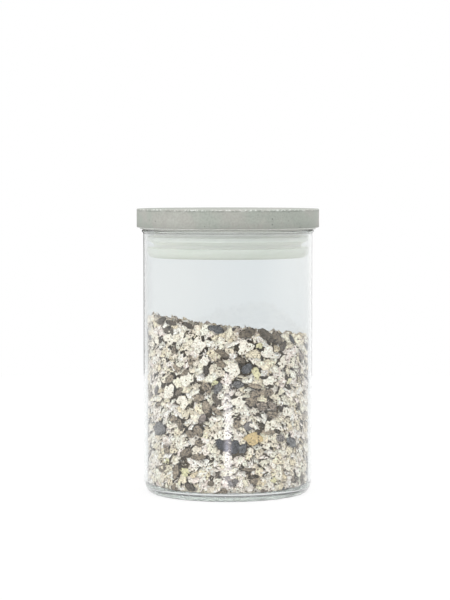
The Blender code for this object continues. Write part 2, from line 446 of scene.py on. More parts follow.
def stopperOutline():
    s = stopper
    under = s["top"] - s["flange"]
    upperTop = under - s["drop"]
    edgeEnd = upperTop - s["upperEdge"]
    root = edgeEnd - s["slant"]
    lowerTop = root - s["spacing"]
    cup = s["neck"] - s["wall"]
    floor = s["bottom"] + s["wall"]
    inner = s["innerRound"]
    r, f, n, g = s["flangeRound"], s["finRound"], s["neckRound"], s["grooveRound"]
    points = [(0, floor), (cup * 0.5, floor)] + roundPoints((cup - inner, floor + inner), inner, -90, 0)
    points += [(cup + s["draft"] * 0.9, s["top"] - 0.2 * mm), (cup + s["draft"] + 0.2 * mm, s["top"])]
    points += [(s["lipInner"], s["top"]), (s["lipInner"] + s["lip"], s["top"] + s["lip"])]
    points += roundPoints((s["radius"] - r, s["top"] + s["lip"] - r), r, 90, 0, 6)
    points += roundPoints((s["radius"] - r, under + r), r, 0, -90, 6)
    points += roundPoints((s["neck"] + n, under - n), n, 90, 180, 6)
    points += roundPoints((s["neck"] + g, upperTop + g), g, 180, 270, 5)
    points += roundPoints((s["fin"] - f, upperTop - f), f, 90, 0, 6)
    for step in range(11):
        share = step / 10
        across = s["fin"] + (s["neck"] - s["fin"]) * share
        hollow = s["slantHollow"] * math.sin(math.pi * share)
        points.append((across, edgeEnd - s["slant"] * share + hollow))
    points += roundPoints((s["neck"] + g, lowerTop + g), g, 180, 270, 5)
    points += roundPoints((s["fin"] - f, lowerTop - f), f, 90, 0, 6)
    corner = (s["fin"] - s["cornerWidth"], s["bottom"] + s["cornerHeight"])
    points += arcPoints(corner, (s["cornerWidth"], s["cornerHeight"]), 0, -90, 16)
    return points + [(30 * mm, s["bottom"]), (0, s["bottom"])]


def mouldedPolyethylene():
    # injection-moulded LDPE: a milky white neck, fins and groove greyed by painted shade, darkest at the
    # underside edge, a waxy half gloss, and a painted shade line under the flange's edge, where it sits on
    # the rim; a faint glow stands for the light that its thin walls pass on
    material, tree, place = newMaterial("mouldedMilkyPolyethylene")
    cloud = addNode(tree, "ShaderNodeTexNoise", {"Vector": place, "Scale": 1 / (9 * mm), "Detail": 3.0})
    tint = addNode(tree, "ShaderNodeValToRGB", {"Fac": cloud}, stops=[(0.3, "#F8FBF7"), (0.7, "#FEFEFC")])
    height = addNode(tree, "ShaderNodeSeparateXYZ", {0: place}).outputs["Z"]
    rise = addNode(tree, "ShaderNodeMapRange", {"Value": height, "From Min": stopper["bottom"],
            "From Max": stopper["top"]})
    # painted shade by height: grey at the underside edge, the fins and the groove, white at the neck
    span = (stopper["top"] - stopper["bottom"]) / mm
    paintedShades = [(above / span, colour) for above, colour in stopper["paintedShades"]]
    shade = addNode(tree, "ShaderNodeValToRGB", {"Fac": rise}, stops=paintedShades)
    finned = addNode(tree, "ShaderNodeMix", {0: 1.0, 6: shade, 7: tint}, data_type="RGBA",
            blend_type="MULTIPLY")
    # a dark line painted under the flange's edge as shade in the seam
    seam = addNode(tree, "ShaderNodeMapRange", {"Value": height, "From Min": stopper["top"] - 0.1 * mm,
            "From Max": stopper["top"] - 0.45 * mm})
    root = addNode(tree, "ShaderNodeMapRange", {"Value": height, "From Min": stopper["top"] - 1.1 * mm,
            "From Max": stopper["top"] - 0.8 * mm, "To Max": 0.95})
    seamShade = addNode(tree, "ShaderNodeMath", {0: seam, 1: root}, operation="MULTIPLY")
    seamShaded = addNode(tree, "ShaderNodeMix", {0: seamShade, 6: finned.outputs[2], 7: stopper["seamShade"]},
            data_type="RGBA")
    grain = addNode(tree, "ShaderNodeTexNoise", {"Vector": place, "Scale": 1 / (0.6 * mm)})
    bump = addNode(tree, "ShaderNodeBump", {"Height": grain, "Strength": 0.15, "Distance": 0.05 * mm})
    gloss = addNode(tree, "ShaderNodeMapRange", {"Value": cloud, "To Min": 0.34, "To Max": 0.52})
    out = fromAxis(tree, place)[1]
    glow = addNode(tree, "ShaderNodeMapRange", {"Value": out, "From Min": stopper["neck"] + 0.8 * mm,
            "From Max": stopper["fin"] - 0.8 * mm, "To Min": stopper["glowNeck"],
            "To Max": stopper["glowFin"]})
    body = addNode(tree, "ShaderNodeBsdfPrincipled", {"Base Color": seamShaded.outputs[2], "Roughness": gloss,
            "IOR": 1.51, "Subsurface Weight": 1.0, "Subsurface Radius": (1.0, 1.0, 0.95),
            "Subsurface Scale": 12 * mm, "Emission Color": (1.0, 0.98, 0.93, 1.0),
            "Emission Strength": glow, "Normal": bump})
    return endMaterial(material, body)


def makeStopper():
    mesh = turnShape("stopper_moulding", stopperOutline(), stopper["segments"])
    addPiece("stopper_moulding", mesh, mouldedPolyethylene(), "lid", "milky_plastic", "stopper")


# Concrete disc

disc = {
    "radius": discBox[1].x,
    "top": discBox[1].z,
    "underside": discBox[0].z,
    "edge": 0.5 * mm,
    "grooveOuter": 50.0 * mm,
    "grooveInner": 45.0 * mm,
    "grooveDepth": 1.2 * mm,
    "chip": 0.8 * mm,       # the deepest bite out of an edge
    "chipTop": (1.2 * mm, 2.2 * mm),    # how far down and inwards the top edge breaks, and the lower edge
    "chipLow": (0.9 * mm, 1.2 * mm),
    "crumbs": (2.1 * mm, 0.8 * mm),     # coarse and fine
    "edgeRings": (1.6 * mm, 0.9 * mm, 0.4 * mm),    # of the mesh, so that the top can break
    "segments": 480,
    "lowShadeReach": 4.5 * mm,   # this near its underside the cast is darkened by painted shade
    "edgeReach": 3.0 * mm,  # and this near its top edge it is flecked with pale breaks, partly a painted highlight
    "lineDrop": 1.1 * mm,   # a thin dark broken line runs this far under the top edge
}


def discOutline():
    d = disc
    edge = d["radius"] - d["edge"]
    top = [(0, d["top"])] + [(edge * step / 24, d["top"]) for step in range(4, 24)]
    top += [(edge - inward, d["top"]) for inward in d["edgeRings"]]
    side = roundPoints((edge, d["top"] - d["edge"]), d["edge"], 90, 0, 5)
    high, low = d["top"] - d["edge"], d["underside"] + d["edge"]
    side += [(d["radius"], high + (low - high) * step / 16) for step in range(1, 16)]
    side += roundPoints((edge, low), d["edge"], 0, -90, 5)
    roof = d["underside"] + d["grooveDepth"]
    under = [(d["grooveOuter"], d["underside"]), (d["grooveOuter"], roof), (d["grooveInner"], roof),
            (d["grooveInner"], d["underside"]), (20 * mm, d["underside"]), (0, d["underside"])]
    return top + side + under


def chipEdges(mesh):
    # the cast's sharp arris breaks away in small crumbs, more on top than below
    d = disc
    for corner in mesh.vertices:
        spot = corner.co
        out = math.hypot(spot.x, spot.y)
        if out < d["radius"] - 3 * mm:
            continue
        inward, down, up = d["radius"] - out, d["top"] - spot.z, spot.z - d["underside"]
        fromTop = max(0.0, 1 - down / d["chipTop"][0]) * max(0.0, 1 - inward / d["chipTop"][1])
        fromLow = max(0.0, 1 - up / d["chipLow"][0]) * max(0.0, 1 - inward / d["chipLow"][1])
        coarse, fine = [noise.noise(Vector(spot) / crumbSize) for crumbSize in d["crumbs"]]
        crumb = max(0.0, coarse * 0.9 + fine * 0.6 - 0.12)
        bite = d["chip"] * crumb * (fromTop + 0.5 * fromLow)
        skin = 0.05 * mm * (noise.noise(Vector(spot) / (4 * mm)) - 0.7)
        shrink = (out - bite + min(skin, 0)) / out
        spot.x *= shrink
        spot.y *= shrink
        spot.z -= 0.8 * bite * (1 if fromTop > 0 else -1)


def castConcrete():
    # fine cast concrete, sealed: mid grey, cloudy, with small air pores and sand, a low sheen at its face
    material, tree, place = newMaterial("sealedCastConcrete")
    cloud = addNode(tree, "ShaderNodeTexNoise", {"Vector": place, "Scale": 1 / (22 * mm), "Detail": 5.0,
            "Roughness": 0.6})
    tone = addNode(tree, "ShaderNodeValToRGB", {"Fac": cloud}, stops=[(0.3, "#90988F"), (0.45, "#999E96"),
            (0.55, "#A09F99"), (0.7, "#A8AAA3")])
    sand = addNode(tree, "ShaderNodeTexNoise", {"Vector": place, "Scale": 1 / (1.1 * mm)})
    speck = addNode(tree, "ShaderNodeValToRGB", {"Fac": sand}, stops=[(0.3, "#787C76"), (0.5, "#A0A39D"),
            (0.72, "#BCBEB9")])
    grained = addNode(tree, "ShaderNodeMix", {0: 0.22, 6: tone, 7: speck}, data_type="RGBA")
    cells = addNode(tree, "ShaderNodeTexVoronoi", {"Vector": place, "Scale": 1 / (3.2 * mm)})
    chance = addNode(tree, "ShaderNodeSeparateColor", {0: cells.outputs["Color"]})
    reach = addNode(tree, "ShaderNodeMapRange", {"Value": chance, "From Min": 0.6, "To Max": 0.17})
    pore = addNode(tree, "ShaderNodeMath", {0: cells.outputs["Distance"], 1: reach},
            operation="LESS_THAN")
    # painted shade in the air pores
    shadedPores = addNode(tree, "ShaderNodeMix", {0: pore, 6: grained.outputs[2], 7: "#767974"},
            data_type="RGBA")
    height = addNode(tree, "ShaderNodeSeparateXYZ", {0: place}).outputs["Z"]
    level = addNode(tree, "ShaderNodeMapRange", {"Value": height,
            "From Min": disc["top"] - 2 * disc["lineDrop"], "From Max": disc["top"]})
    line = addNode(tree, "ShaderNodeValToRGB", {"Fac": level}, stops=[(0.25, "#000000"), (0.5, "#FFFFFF"),
            (0.75, "#000000")])
    broken = addNode(tree, "ShaderNodeTexNoise", {"Vector": place, "Scale": 1 / (5 * mm)})
    dashes = addNode(tree, "ShaderNodeMapRange", {"Value": broken, "From Min": 0.4, "From Max": 0.6,
            "To Min": 0.1, "To Max": 0.7})
    edgeLine = addNode(tree, "ShaderNodeMath", {0: line, 1: dashes}, operation="MULTIPLY")
    lined = addNode(tree, "ShaderNodeMix", {0: edgeLine, 6: shadedPores.outputs[2], 7: "#70746E"},
            data_type="RGBA")
    grit = addNode(tree, "ShaderNodeTexNoise", {"Vector": place, "Scale": 1 / (1.1 * mm), "Detail": 1.0})
    # pale flecks along the top arris: partly chipped edges, partly a painted highlight
    pale = addNode(tree, "ShaderNodeMapRange", {"Value": grit, "From Min": 0.55, "From Max": 0.63})
    arris = addNode(tree, "ShaderNodeMapRange", {"Value": height, "From Min": disc["top"] - 1.3 * mm,
            "From Max": disc["top"] - 0.5 * mm, "To Max": 0.6})
    out = fromAxis(tree, place)[1]
    edging = addNode(tree, "ShaderNodeMapRange",
            {"Value": out, "From Min": disc["radius"] - disc["edgeReach"],
            "From Max": disc["radius"] - disc["edge"], "To Min": 0.12})
    corner = addNode(tree, "ShaderNodeMath", {0: arris, 1: edging}, operation="MULTIPLY")
    chipAndHighlightMask = addNode(tree, "ShaderNodeMath", {0: pale, 1: corner}, operation="MULTIPLY")
    chipAndHighlightTone = addNode(tree, "ShaderNodeMix", {0: chipAndHighlightMask, 6: lined.outputs[2], 7: "#D9DCD8"},
            data_type="RGBA")
    # painted shade: the cast darker towards its underside
    low = addNode(tree, "ShaderNodeMapRange", {"Value": height, "From Min": disc["underside"],
            "From Max": disc["underside"] + disc["lowShadeReach"], "To Min": 0.84})
    shaded = addNode(tree, "ShaderNodeVectorMath", {0: chipAndHighlightTone.outputs[2], "Scale": low},
            operation="SCALE")
    rough = addNode(tree, "ShaderNodeMapRange", {"Value": sand, "To Min": 0.42, "To Max": 0.62})
    deep = addNode(tree, "ShaderNodeMath", {0: pore, 1: -1.6}, operation="MULTIPLY")
    relief = addNode(tree, "ShaderNodeMath", {0: sand, 1: deep}, operation="ADD")
    bump = addNode(tree, "ShaderNodeBump", {"Height": relief, "Strength": 0.4, "Distance": 0.15 * mm})
    body = addNode(tree, "ShaderNodeBsdfPrincipled", {"Base Color": shaded, "Roughness": rough,
            "Normal": bump})
    return endMaterial(material, body)


def makeDisc():
    mesh = turnShape("lid_disc", discOutline(), disc["segments"])
    chipEdges(mesh)
    addPiece("lid_disc", mesh, castConcrete(), "lid", "cast_concrete", "concrete_disc")


def curedSilicone():
    # silicone adhesive: pale, rubbery, a soft sheen
    material, tree, place = newMaterial("curedSilicone")
    cloud = addNode(tree, "ShaderNodeTexNoise", {"Vector": place, "Scale": 1 / (3 * mm)})
    tint = addNode(tree, "ShaderNodeValToRGB", {"Fac": cloud}, stops=[(0.3, "#D2D3CF"), (0.7, "#DEDFDB")])
    body = addNode(tree, "ShaderNodeBsdfPrincipled", {"Base Color": tint, "Roughness": 0.5, "IOR": 1.41})
    return endMaterial(material, body)


# Muesli

heap = {
    "radius": fillBox[1].x,
    "floor": fillBox[0].z,
    "level": 96.1 * mm,
    "rise": 8.6 * mm,
    "fall": 3.6 * mm,
    "forward": 2.2 * mm,    # higher towards the camera, so that the skyline is made of the front flakes
    "heel": 4.7 * mm,
    "wall": fillBox[1].x + 0.1 * mm,    # flakes stop here, just inside the glass
    "press": 0.965,         # share of the radius past which flakes flatten against the glass
    "laidGrow": 1.12,       # laid flakes are this much larger than they look, as crumbs cover their rims
    "lean": 0.4,            # radians that a flake may tip either way
    "coreInset": 2.9 * mm,
    "clump": 0.5,
    "clumpSize": 14 * mm,   # dark flakes lie in patches of about this size
}

lots = {
    # spacing, depth and clearance of the laid flakes in mm, the draws taken, the sizes, the lift off level
    "oat_flakes": {"spacing": 2.9, "depth": 1.4, "clear": 0.8, "from": -9.0, "to": 9.0,
                   "small": 0.5, "large": 1.0, "lift": 1.0},
    "rye_flakes": {"spacing": 2.9, "depth": 1.0, "clear": 3.0, "from": 1.16, "to": 9.0,
                   "small": 0.7, "large": 1.1, "lift": 1.0},
    "oat_crumbs": {"spacing": 1.5, "depth": 3.4, "clear": 0.3, "from": -9.0, "to": 9.0,
                   "small": 0.35, "large": 1.0, "lift": 1.2},
}

# flakes laid one by one where the photo shows them: bearing from the front in degrees, height, length and
# width in mm, turn from level in degrees, tone
laidRye = [
    (-53, 103.5, 8, 4, 25, 0.0), (-43, 102.6, 8, 3, -10, 0.05), (-28, 101.5, 7, 3, -25, 0.0),
    (-46, 98, 9, 4, -10, 0.05), (-8, 99.8, 9, 4, -15, 0.95), (13, 97.5, 10, 5, 15, 0.2),
    (27, 96, 11, 5, -35, 0.1), (36, 94, 9, 5, -45, 0.2), (50, 93, 7, 3, -50, 1.0),
    (41, 89, 6, 4, 60, 0.1), (-40, 87, 4, 3, -85, 0.4), (-4, 86, 10, 3, -30, 0.3),
    (8, 82, 6, 3, -15, 0.3), (-5, 80, 6, 4, -40, 0.5), (13, 77, 7, 5, 40, 0.95), (-15, 76, 5, 3, 85, 0.0),
    (-31, 74, 6, 3, 35, 0.4), (-45, 70, 8, 4, 20, 0.6), (7, 68, 6, 4, 0, 0.9), (19, 67, 8, 3, -15, 0.6),
    (-7, 66, 7, 4, 60, 0.9), (-15, 66, 8, 4, -50, 0.6), (28, 63, 8, 4, 0, 0.6), (-36, 63, 7, 3, 40, 0.2),
    (19, 62, 6, 5, 10, 0.5), (-21, 60, 7, 5, 5, 0.6), (16, 58, 7, 5, -15, 0.5), (24, 55, 7, 5, -10, 0.7),
    (32, 55, 7, 4, -40, 0.7), (-15, 55, 7, 5, -85, 0.6), (-8, 53, 7, 3, -40, 0.6),
    (32, 50, 7, 4, -15, 0.5), (-18, 48, 6, 4, 55, 0.8), (-41, 47, 6, 4, 25, 0.6), (6, 45, 5, 4, -85, 0.6),
    (-35, 44, 7, 3, -75, 0.4), (-21, 41, 7, 5, -50, 0.5), (29, 40, 8, 3, -10, 0.6),
    (-27, 39, 6, 4, -25, 0.5), (-56, 40, 12, 7, 5, 0.9), (50, 33, 9, 5, -30, 0.92),
    (39, 36, 6, 4, -5, 0.85), (-20, 34, 5, 4, 0, 0.4), (-4, 33, 8, 5, -50, 1.0), (5, 32, 8, 5, 80, 1.0),
    (10, 31, 6, 4, 65, 0.95), (-48, 29, 6, 4, -45, 0.5), (-31, 28, 9, 4, 25, 0.3),
    (-21, 26, 8, 4, 10, 0.5), (14, 19, 8, 2, -5, 0.4), (-39, 16, 9, 4, 75, 0.6), (-7, 16, 5, 2, 65, 0.1),
    (18, 12, 5, 3, 0, 0.5), (-12, 11, 4, 3, -5, 0.4), (-27, 8, 6, 4, -15, 0.1),
]
laidCorn = [
    (18, 37, 11, 7.5, 20, 0.9), (20, 74, 7, 5, -70, 0.3), (22, 90, 5, 3, 20, 0.3),
    (47, 69, 5, 3, 30, 0.4), (39, 63, 5, 4, 0, 0.5), (28, 32, 6, 4, -10, 0.6), (33, 12, 5, 3, 10, 0.3),
    (-9, 69, 4, 3, 40, 0.1), (-55, 67, 7, 4, -50, 0.7), (-16, 82, 5, 6, 50, 0.8),
    (-47, 22, 5, 3, 30, 0.1), (-31, 17, 5, 7, 70, 0.2), (11, 89, 10, 8, 10, 0.7),
    (-20, 91, 10, 8, 60, 0.75), (-45, 94, 10, 7, 15, 0.65), (-60, 93, 9, 6, -20, 0.6),
    (-45, 63, 10, 8, 80, 0.7), (-29, 71, 9, 8, 30, 0.62), (3, 76, 10, 8, -20, 0.75),
    (30, 70, 9, 6, 10, 0.68), (28, 86, 10, 7, -30, 0.8), (41, 80, 8, 6, 50, 0.62), (7, 58, 9, 7, 5, 0.72),
    (-4, 39, 10, 7, 15, 0.66), (30, 44, 8, 7, 70, 0.62), (46, 51, 8, 6, -20, 0.7),
    (-33, 57, 9, 7, -10, 0.64),
]


def heapHeight(x, y):
    # high at the left, levelling off to the right, and a little higher in front
    across = x / heap["radius"]
    bend = (heap["rise"] - heap["fall"]) / 2
    slope = (heap["rise"] + heap["fall"]) / 2
    return bend * across ** 2 - slope * across - heap["forward"] * y / heap["radius"]


def heapShape(name, inset, segments=96, rings=18):
    radius = heap["radius"] - inset
    floor = heap["floor"] + inset
    heel = heap["heel"]
    level = heap["level"] - inset
    outline = [(0, floor), (radius * 0.5, floor)]
    outline += roundPoints((radius - heel, floor + heel), heel, -90, 0, 6)
    outline += [(radius, floor + (level - floor) * step / rings) for step in range(2, rings)]
    outline += [(radius * step / rings, level) for step in range(rings, -1, -1)]
    mesh = turnShape(name, outline, segments)
    for corner in mesh.vertices:
        x, y, z = corner.co
        share = max(0.0, (z - floor - heel) / (level - floor - heel))
        lump = 0.9 * mm * noise.noise(Vector((x, y, 0)) / (13 * mm))
        corner.co.z = z + (heapHeight(x, y) + lump) * share
    return mesh


def flakeMesh(name, seed, size, rim, ragged):
    # one rolled flake: thin, ragged, curled, and split at one end; flakeEdge is 0 amid it and 1 at its rim
    pick = random.Random(seed)
    lobes, phase = pick.randint(2, 4), pick.uniform(0, math.tau)
    curl, twist = pick.uniform(-0.05, 0.16), pick.uniform(-0.15, 0.15)
    reach = []
    for step in range(rim):
        wave = 0.5 * ragged * math.sin(lobes * math.tau * step / rim + phase)
        reach.append(1 - ragged / 2 + wave + pick.uniform(-ragged, ragged))
    reach[pick.randrange(1, rim, 2)] *= 1 - 2 * ragged
    shape = bmesh.new()
    edgeShare = shape.verts.layers.float.new("flakeEdge")

    def spot(share, step, side):
        angle = math.tau * step / rim
        x = size["length"] / 2 * share * reach[step] * math.cos(angle)
        y = size["width"] / 2 * share * reach[step] * math.sin(angle)
        bend = (curl * y * y + twist * x * y) / (size["width"] / 2)
        crumple = 0.6 * size["thick"] * noise.noise(Vector((x / mm, y / mm, seed)) * 0.6)
        corner = shape.verts.new((x, y, bend + crumple + side * size["thick"] / 2 * (1 - 0.4 * share)))
        corner[edgeShare] = share
        return corner

    edge = [spot(1.0, step, 0) for step in range(rim)]
    crown = spot(0.0, 0, 1)
    back = spot(0.0, 0, -1)
    if rim > 8:
        ring = [spot(0.62, step, 1) for step in range(0, rim, 2)]
        for step in range(len(ring)):
            near, far = ring[step], ring[(step + 1) % len(ring)]
            first, middle, last = edge[2 * step], edge[2 * step + 1], edge[(2 * step + 2) % rim]
            shape.faces.new((crown, near, far))
            shape.faces.new((near, first, middle))
            shape.faces.new((near, middle, far))
            shape.faces.new((far, middle, last))
    else:
        for step in range(rim):
            shape.faces.new((crown, edge[step], edge[(step + 1) % rim]))
    for step in range(rim):
        shape.faces.new((back, edge[(step + 1) % rim], edge[step]))
    bmesh.ops.recalc_face_normals(shape, faces=shape.faces)
    return meshFrom(name, shape)


def flakeKinds(name, seeds, length, width, thick, rim=16, ragged=0.2):
    group = bpy.data.collections.new(name)
    size = {"length": length * mm, "width": width * mm, "thick": thick * mm}
    for seed in seeds:
        mesh = flakeMesh(f"{name}{seed}", seed, size, rim, ragged)
        group.objects.link(bpy.data.objects.new(mesh.name, mesh))
    return group, size


def layFlakes(name, kinds, spots):
    # flakes set one by one flat against the glass
    group, size = kinds
    shape = bmesh.new()
    shape.verts.layers.float.new("flakeEdge")
    toneShare = shape.verts.layers.float.new("flakeTone")
    meshes = [item.data for item in group.objects]
    for index, (bearing, height, length, width, turn, tone) in enumerate(spots):
        already = len(shape.verts)
        shape.from_mesh(meshes[index % len(meshes)])
        shape.verts.ensure_lookup_table()
        cosine, sine = math.cos(math.radians(turn)), math.sin(math.radians(turn))
        for corner in shape.verts[already:]:
            x = corner.co.x * length * heap["laidGrow"] * mm / size["length"]
            y = corner.co.y * width * heap["laidGrow"] * mm / size["width"]
            angle = math.radians(bearing) + (x * cosine - y * sine) / heap["wall"]
            out = min(heap["wall"] - 0.45 * size["thick"] + 0.5 * corner.co.z, heap["wall"])
            corner[toneShare] = tone
            corner.co = (out * math.sin(angle), -out * math.cos(angle),
                    height * mm + x * sine + y * cosine)
    return meshFrom(name, shape)


def scatterTree():
    # flakes scattered over a skin, turned at random, and pressed flat where they meet the glass
    tree = bpy.data.node_groups.new("pourFlakes", "GeometryNodeTree")
    sockets = {"Skin": "Geometry", "Flakes": "Collection", "Laid": "Object", "Clear": "Float",
               "Spacing": "Float", "Seed": "Int", "Pick From": "Float", "Pick To": "Float",
               "Clump": "Float", "Clump Scale": "Float", "Deepest": "Float", "Lift": "Float",
               "Lean Low": "Vector", "Lean High": "Vector", "Smallest": "Float", "Largest": "Float",
               "Wall": "Float", "Heel Centre": "Float", "Floor": "Float", "Heel Top": "Float",
               "Press": "Float", "Finish": "Material"}
    for label, kind in sockets.items():
        tree.interface.new_socket(name=label, in_out="INPUT", socket_type="NodeSocket" + kind)
    tree.interface.new_socket(name="Heap", in_out="OUTPUT", socket_type="NodeSocketGeometry")
    given = addNode(tree, "NodeGroupInput").outputs
    place = addNode(tree, "GeometryNodeInputPosition")
    points = addNode(tree, "GeometryNodeDistributePointsOnFaces", {"Mesh": given["Skin"],
            "Distance Min": given["Spacing"], "Density Max": 1200000.0, "Seed": given["Seed"]},
            distribute_method="POISSON").outputs
    # which points this kind takes: a random draw that patches of noise push up or down
    patches = addNode(tree, "ShaderNodeTexNoise", {"Vector": place, "Scale": given["Clump Scale"],
            "Detail": 1.0})
    lot = addNode(tree, "FunctionNodeRandomValue", {"Seed": 3})
    draw = addNode(tree, "ShaderNodeMath", {0: patches, 1: given["Clump"], 2: lot.outputs[1]},
            operation="MULTIPLY_ADD")
    above = addNode(tree, "FunctionNodeCompare", {0: draw, 1: given["Pick From"]},
            operation="GREATER_EQUAL")
    below = addNode(tree, "FunctionNodeCompare", {0: draw, 1: given["Pick To"]}, operation="LESS_THAN")
    drawn = addNode(tree, "FunctionNodeBooleanMath", {0: above, 1: below}, operation="AND")
    laid = addNode(tree, "GeometryNodeObjectInfo", {"Object": given["Laid"]}).outputs["Geometry"]
    near = addNode(tree, "GeometryNodeProximity", {0: laid}).outputs["Distance"]
    free = addNode(tree, "FunctionNodeCompare", {0: near, 1: given["Clear"]}, operation="GREATER_THAN")
    mine = addNode(tree, "FunctionNodeBooleanMath", {0: drawn, 1: free}, operation="AND")
    depth = addNode(tree, "FunctionNodeRandomValue", {2: given["Deepest"], 3: 0.0, "Seed": 11})
    push = addNode(tree, "ShaderNodeVectorMath", {0: points["Normal"], "Scale": depth.outputs[1]},
            operation="SCALE")
    placed = addNode(tree, "GeometryNodeSetPosition", {"Geometry": points["Points"], "Selection": mine,
            "Offset": push})
    # flakes settle flat, so each one's face turns up from the wall by its own amount; on top they are freer
    lift = addNode(tree, "FunctionNodeRandomValue", {2: 0.0, 3: given["Lift"], "Seed": 15})
    rise = addNode(tree, "ShaderNodeCombineXYZ", {2: lift.outputs[1]})
    facing = addNode(tree, "ShaderNodeVectorMath", {0: points["Normal"], 1: rise}, operation="ADD")
    faced = addNode(tree, "FunctionNodeAlignRotationToVector", {"Vector": facing}, axis="Z")
    up = addNode(tree, "ShaderNodeSeparateXYZ", {0: points["Normal"]}).outputs["Z"]
    freer = addNode(tree, "ShaderNodeMapRange", {"Value": up, "To Min": 1.0, "To Max": 2.4})
    lean = addNode(tree, "FunctionNodeRandomValue", {0: given["Lean Low"], 1: given["Lean High"],
            "Seed": 21}, data_type="FLOAT_VECTOR")
    leant = addNode(tree, "ShaderNodeVectorMath", {0: lean, "Scale": freer}, operation="SCALE")
    turned = addNode(tree, "FunctionNodeRotateRotation", {0: faced, 1: leant}, rotation_space="LOCAL")
    kinds = addNode(tree, "GeometryNodeCollectionInfo", {"Collection": given["Flakes"],
            "Separate Children": True, "Reset Children": True})
    size = addNode(tree, "FunctionNodeRandomValue", {2: given["Smallest"], 3: given["Largest"],
            "Seed": 31})
    scattered = addNode(tree, "GeometryNodeInstanceOnPoints", {"Points": placed, "Selection": mine,
            "Instance": kinds, "Pick Instance": True, "Rotation": turned, "Scale": size.outputs[1]})
    tone = addNode(tree, "FunctionNodeRandomValue", {"Seed": 41})
    toned = addNode(tree, "GeometryNodeStoreNamedAttribute", {"Geometry": scattered, "Name": "flakeTone",
            "Value": tone.outputs[1]}, data_type="FLOAT", domain="INSTANCE")
    real = addNode(tree, "GeometryNodeRealizeInstances", {"Geometry": toned})
    # pressed against the glass: the nearer the wall, the flatter, and never past it nor through the floor;
    # in the heel the wall draws in on a quarter circle
    flat, out = fromAxis(tree, place)
    height = addNode(tree, "ShaderNodeSeparateXYZ", {0: place}).outputs["Z"]
    sunk = addNode(tree, "ShaderNodeMapRange", {"Value": height, "From Min": given["Floor"],
            "From Max": given["Heel Top"], "To Min": 1.0, "To Max": 0.0})
    square = addNode(tree, "ShaderNodeMath", {0: sunk, 1: 2.0}, operation="POWER")
    rest = addNode(tree, "ShaderNodeMath", {0: 1.0, 1: square}, operation="SUBTRACT")
    chord = addNode(tree, "ShaderNodeMath", {0: rest}, operation="SQRT")
    most = addNode(tree, "ShaderNodeMapRange", {"Value": chord, "To Min": given["Heel Centre"],
            "To Max": given["Wall"]})
    share = addNode(tree, "ShaderNodeMath", {0: out, 1: most}, operation="DIVIDE")
    past = addNode(tree, "ShaderNodeMapRange", {"Value": share, "From Min": given["Press"]}, clamp=False)
    over = addNode(tree, "ShaderNodeMath", {0: past, 1: 0.0}, operation="MAXIMUM")
    decay = addNode(tree, "ShaderNodeMath", {0: 1 / math.e, 1: over}, operation="POWER")
    eased = addNode(tree, "ShaderNodeMapRange", {"Value": decay, "To Min": 1.0, "To Max": given["Press"]})
    kept = addNode(tree, "ShaderNodeMath", {0: share, 1: eased}, operation="MINIMUM")
    some = addNode(tree, "ShaderNodeMath", {0: share, 1: 0.001}, operation="MAXIMUM")
    held = addNode(tree, "ShaderNodeMath", {0: kept, 1: some}, operation="DIVIDE")
    drawnIn = addNode(tree, "ShaderNodeVectorMath", {0: flat, "Scale": held}, operation="SCALE")
    stood = addNode(tree, "ShaderNodeMath", {0: height, 1: given["Floor"]}, operation="MAXIMUM")
    level = addNode(tree, "ShaderNodeCombineXYZ", {2: stood})
    inside = addNode(tree, "ShaderNodeVectorMath", {0: drawnIn, 1: level}, operation="ADD")
    pressed = addNode(tree, "GeometryNodeSetPosition", {"Geometry": real, "Position": inside})
    finished = addNode(tree, "GeometryNodeSetMaterial", {"Geometry": pressed,
            "Material": given["Finish"]})
    addNode(tree, "NodeGroupOutput", {"Heap": finished})
    return tree


def pour(name, tree, kinds, material, laid, seed, inset):
    # runs the tree on a skin of the heap and keeps the result as a plain mesh
    lot = lots[name]
    lean = heap["lean"]
    holder = addObject(name + "Skin", heapShape(name + "Skin", inset))
    modifier = holder.modifiers.new("pour", "NODES")
    modifier.node_group = tree
    inputs = {"Flakes": kinds[0], "Finish": material, "Laid": laid, "Clear": lot["clear"] * mm,
            "Spacing": lot["spacing"] * mm, "Seed": seed, "Pick From": lot["from"], "Pick To": lot["to"],
            "Clump": heap["clump"], "Clump Scale": 1 / heap["clumpSize"], "Deepest": -lot["depth"] * mm,
            "Lift": lot["lift"], "Lean Low": (-lean, -lean, 0.0), "Lean High": (lean, lean, math.tau),
            "Smallest": lot["small"], "Largest": lot["large"], "Wall": heap["wall"],
            "Heel Centre": heap["wall"] - heap["heel"], "Floor": heap["floor"],
            "Heel Top": heap["floor"] + heap["heel"], "Press": heap["press"]}
    for item in tree.interface.items_tree:
        if item.item_type == "SOCKET" and item.in_out == "INPUT" and item.name in inputs:
            modifier[item.identifier] = inputs[item.name]
    bpy.context.view_layer.update()
    graph = bpy.context.evaluated_depsgraph_get()
    mesh = bpy.data.meshes.new_from_object(holder.evaluated_get(graph))
    mesh.name = name
    holder.modifiers.remove(modifier)
    bpy.data.objects.remove(holder)
    print(f"  {name}: {len(mesh.polygons)} faces")
    return mesh


